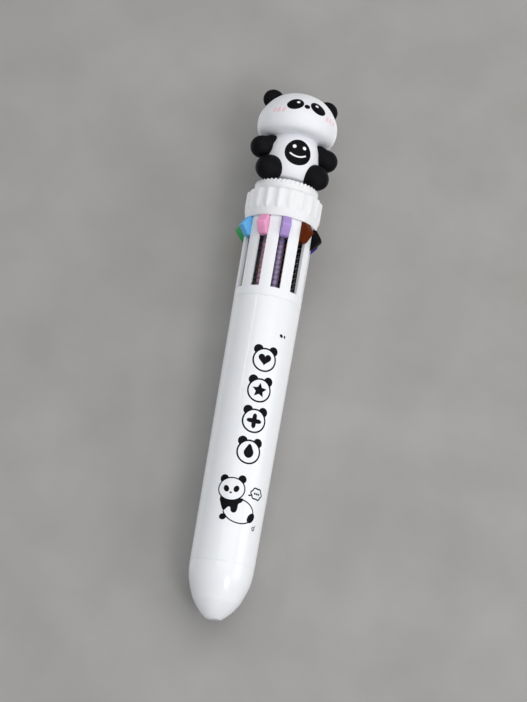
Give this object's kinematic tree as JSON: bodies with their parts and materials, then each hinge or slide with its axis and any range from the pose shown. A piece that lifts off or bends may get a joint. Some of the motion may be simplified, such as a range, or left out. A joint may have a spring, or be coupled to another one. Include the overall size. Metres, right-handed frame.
{
  "type": "multicolor click pen",
  "caption": "Thick round click pen with coloured sliders in slots around its upper end, a fluted collar and a seated animal figure on top.",
  "frame": {"origin": "middle of the writing opening's flat end face", "axes": "+Z along the pen toward the figure; -Y is the way the figure faces"},
  "size_m": [0.0238, 0.0226, 0.1406],
  "materials": {
    "gloss_white_shell": "gloss moulded plastic",
    "satin_white_plastic": "satin moulded plastic",
    "white_vinyl": "soft-touch matte vinyl",
    "black_vinyl": "soft-touch matte vinyl",
    "black_print": "pad-printed ink",
    "pink_print": "pad-printed ink",
    "spring_steel": "drawn wire",
    "tip_brass": "turned",
    "tab_purple": "moulded plastic",
    "ink_purple": "thin tube filled with ink",
    "tab_brown": "moulded plastic",
    "ink_brown": "thin tube filled with ink",
    "tab_black": "moulded plastic",
    "ink_black": "thin tube filled with ink",
    "tab_dark_blue": "moulded plastic",
    "ink_dark_blue": "thin tube filled with ink",
    "tab_red": "moulded plastic",
    "ink_red": "thin tube filled with ink",
    "tab_orange": "moulded plastic",
    "ink_orange": "thin tube filled with ink",
    "tab_yellow": "moulded plastic",
    "ink_yellow": "thin tube filled with ink",
    "tab_green": "moulded plastic",
    "ink_green": "thin tube filled with ink",
    "tab_light_blue": "moulded plastic",
    "ink_light_blue": "thin tube filled with ink",
    "tab_pink": "moulded plastic",
    "ink_pink": "thin tube filled with ink"
  },
  "bodies": {
    "pen": {"barrel": "gloss_white_shell", "nose_cone": "gloss_white_shell", "slider_cage": "gloss_white_shell", "guide_disc": "satin_white_plastic", "release_core": "satin_white_plastic", "collar": "satin_white_plastic", "crown_ring": "satin_white_plastic", "topper_head": "white_vinyl", "topper_torso": "white_vinyl", "topper_ear_left": "black_vinyl", "topper_ear_right": "black_vinyl", "topper_arm_left": "black_vinyl", "topper_arm_right": "black_vinyl", "topper_leg_left": "black_vinyl", "topper_leg_right": "black_vinyl", "spring_purple": "spring_steel", "spring_brown": "spring_steel", "spring_black": "spring_steel", "spring_dark_blue": "spring_steel", "spring_red": "spring_steel", "spring_orange": "spring_steel", "spring_yellow": "spring_steel", "spring_green": "spring_steel", "spring_light_blue": "spring_steel", "spring_pink": "spring_steel"},
    "slider_purple": {"slider_purple": "tab_purple", "refill_purple": "ink_purple"},
    "refill_end_purple": {"tip_purple": "tip_brass"},
    "slider_brown": {"slider_brown": "tab_brown", "refill_brown": "ink_brown"},
    "refill_end_brown": {"tip_brown": "tip_brass"},
    "slider_black": {"slider_black": "tab_black", "refill_black": "ink_black"},
    "refill_end_black": {"tip_black": "tip_brass"},
    "slider_dark_blue": {"slider_dark_blue": "tab_dark_blue", "refill_dark_blue": "ink_dark_blue"},
    "refill_end_dark_blue": {"tip_dark_blue": "tip_brass"},
    "slider_red": {"slider_red": "tab_red", "refill_red": "ink_red"},
    "refill_end_red": {"tip_red": "tip_brass"},
    "slider_orange": {"slider_orange": "tab_orange", "refill_orange": "ink_orange"},
    "refill_end_orange": {"tip_orange": "tip_brass"},
    "slider_yellow": {"slider_yellow": "tab_yellow", "refill_yellow": "ink_yellow"},
    "refill_end_yellow": {"tip_yellow": "tip_brass"},
    "slider_green": {"slider_green": "tab_green", "refill_green": "ink_green"},
    "refill_end_green": {"tip_green": "tip_brass"},
    "slider_light_blue": {"slider_light_blue": "tab_light_blue", "refill_light_blue": "ink_light_blue"},
    "refill_end_light_blue": {"tip_light_blue": "tip_brass"},
    "slider_pink": {"slider_pink": "tab_pink", "refill_pink": "ink_pink"},
    "refill_end_pink": {"tip_pink": "tip_brass"}
  },
  "joints": [
    {"name": "press_purple", "type": "slide", "parent": "pen", "child": "slider_purple", "axis": [0, 0, -1], "range_m": [0, 0.0115], "stiffness_N_per_m": 60, "springref_m": -0.004, "deforming": ["spring_purple", "refill_purple", "tip_purple"]},
    {"name": "press_brown", "type": "slide", "parent": "pen", "child": "slider_brown", "axis": [0, 0, -1], "range_m": [0, 0.0115], "stiffness_N_per_m": 60, "springref_m": -0.004, "deforming": ["spring_brown", "refill_brown", "tip_brown"]},
    {"name": "press_black", "type": "slide", "parent": "pen", "child": "slider_black", "axis": [0, 0, -1], "range_m": [0, 0.0115], "stiffness_N_per_m": 60, "springref_m": -0.004, "deforming": ["spring_black", "refill_black", "tip_black"]},
    {"name": "press_dark_blue", "type": "slide", "parent": "pen", "child": "slider_dark_blue", "axis": [0, 0, -1], "range_m": [0, 0.0115], "stiffness_N_per_m": 60, "springref_m": -0.004, "deforming": ["spring_dark_blue", "refill_dark_blue", "tip_dark_blue"]},
    {"name": "press_red", "type": "slide", "parent": "pen", "child": "slider_red", "axis": [0, 0, -1], "range_m": [0, 0.0115], "stiffness_N_per_m": 60, "springref_m": -0.004, "deforming": ["spring_red", "refill_red", "tip_red"]},
    {"name": "press_orange", "type": "slide", "parent": "pen", "child": "slider_orange", "axis": [0, 0, -1], "range_m": [0, 0.0115], "stiffness_N_per_m": 60, "springref_m": -0.004, "deforming": ["spring_orange", "refill_orange", "tip_orange"]},
    {"name": "press_yellow", "type": "slide", "parent": "pen", "child": "slider_yellow", "axis": [0, 0, -1], "range_m": [0, 0.0115], "stiffness_N_per_m": 60, "springref_m": -0.004, "deforming": ["spring_yellow", "refill_yellow", "tip_yellow"]},
    {"name": "press_green", "type": "slide", "parent": "pen", "child": "slider_green", "axis": [0, 0, -1], "range_m": [0, 0.0115], "stiffness_N_per_m": 60, "springref_m": -0.004, "deforming": ["spring_green", "refill_green", "tip_green"]},
    {"name": "press_light_blue", "type": "slide", "parent": "pen", "child": "slider_light_blue", "axis": [0, 0, -1], "range_m": [0, 0.0115], "stiffness_N_per_m": 60, "springref_m": -0.004, "deforming": ["spring_light_blue", "refill_light_blue", "tip_light_blue"]},
    {"name": "press_pink", "type": "slide", "parent": "pen", "child": "slider_pink", "axis": [0, 0, -1], "range_m": [0, 0.0115], "stiffness_N_per_m": 60, "springref_m": -0.004, "deforming": ["spring_pink", "refill_pink", "tip_pink"]},
    {"name": "flex_purple", "type": "hinge", "parent": "slider_purple", "child": "refill_end_purple", "pos_m": [-0.0001, -0.006, 0.0708], "axis": [0.9998, -0.0175, 0], "range_deg": [0, 5.64]},
    {"name": "flex_brown", "type": "hinge", "parent": "slider_brown", "child": "refill_end_brown", "pos_m": [0.00344, -0.00491, 0.0708], "axis": [0.8192, 0.5736, 0], "range_deg": [0, 5.64]},
    {"name": "flex_black", "type": "hinge", "parent": "slider_black", "child": "refill_end_black", "pos_m": [0.00567, -0.00195, 0.0708], "axis": [0.3256, 0.9455, 0], "range_deg": [0, 5.64]},
    {"name": "flex_dark_blue", "type": "hinge", "parent": "slider_dark_blue", "child": "refill_end_dark_blue", "pos_m": [0.00574, 0.00175, 0.0708], "axis": [-0.2924, 0.9563, 0], "range_deg": [0, 5.64]},
    {"name": "flex_red", "type": "hinge", "parent": "slider_red", "child": "refill_end_red", "pos_m": [0.00361, 0.00479, 0.0708], "axis": [-0.7986, 0.6018, 0], "range_deg": [0, 5.64]},
    {"name": "flex_orange", "type": "hinge", "parent": "slider_orange", "child": "refill_end_orange", "pos_m": [0.0001, 0.006, 0.0708], "axis": [-0.9998, 0.0175, 0], "range_deg": [0, 5.64]},
    {"name": "flex_yellow", "type": "hinge", "parent": "slider_yellow", "child": "refill_end_yellow", "pos_m": [-0.00344, 0.00491, 0.0708], "axis": [-0.8192, -0.5736, 0], "range_deg": [0, 5.64]},
    {"name": "flex_green", "type": "hinge", "parent": "slider_green", "child": "refill_end_green", "pos_m": [-0.00567, 0.00195, 0.0708], "axis": [-0.3256, -0.9455, 0], "range_deg": [0, 5.64]},
    {"name": "flex_light_blue", "type": "hinge", "parent": "slider_light_blue", "child": "refill_end_light_blue", "pos_m": [-0.00574, -0.00175, 0.0708], "axis": [0.2924, -0.9563, 0], "range_deg": [0, 5.64]},
    {"name": "flex_pink", "type": "hinge", "parent": "slider_pink", "child": "refill_end_pink", "pos_m": [-0.00361, -0.00479, 0.0708], "axis": [0.7986, -0.6018, 0], "range_deg": [0, 5.64]}
  ],
  "couplings": [
    {"joint": "flex_purple", "follows": "press_purple", "rad_per_m": 8.511},
    {"joint": "flex_brown", "follows": "press_brown", "rad_per_m": 8.511},
    {"joint": "flex_black", "follows": "press_black", "rad_per_m": 8.511},
    {"joint": "flex_dark_blue", "follows": "press_dark_blue", "rad_per_m": 8.511},
    {"joint": "flex_red", "follows": "press_red", "rad_per_m": 8.511},
    {"joint": "flex_orange", "follows": "press_orange", "rad_per_m": 8.511},
    {"joint": "flex_yellow", "follows": "press_yellow", "rad_per_m": 8.511},
    {"joint": "flex_green", "follows": "press_green", "rad_per_m": 8.511},
    {"joint": "flex_light_blue", "follows": "press_light_blue", "rad_per_m": 8.511},
    {"joint": "flex_pink", "follows": "press_pink", "rad_per_m": 8.511}
  ]
}
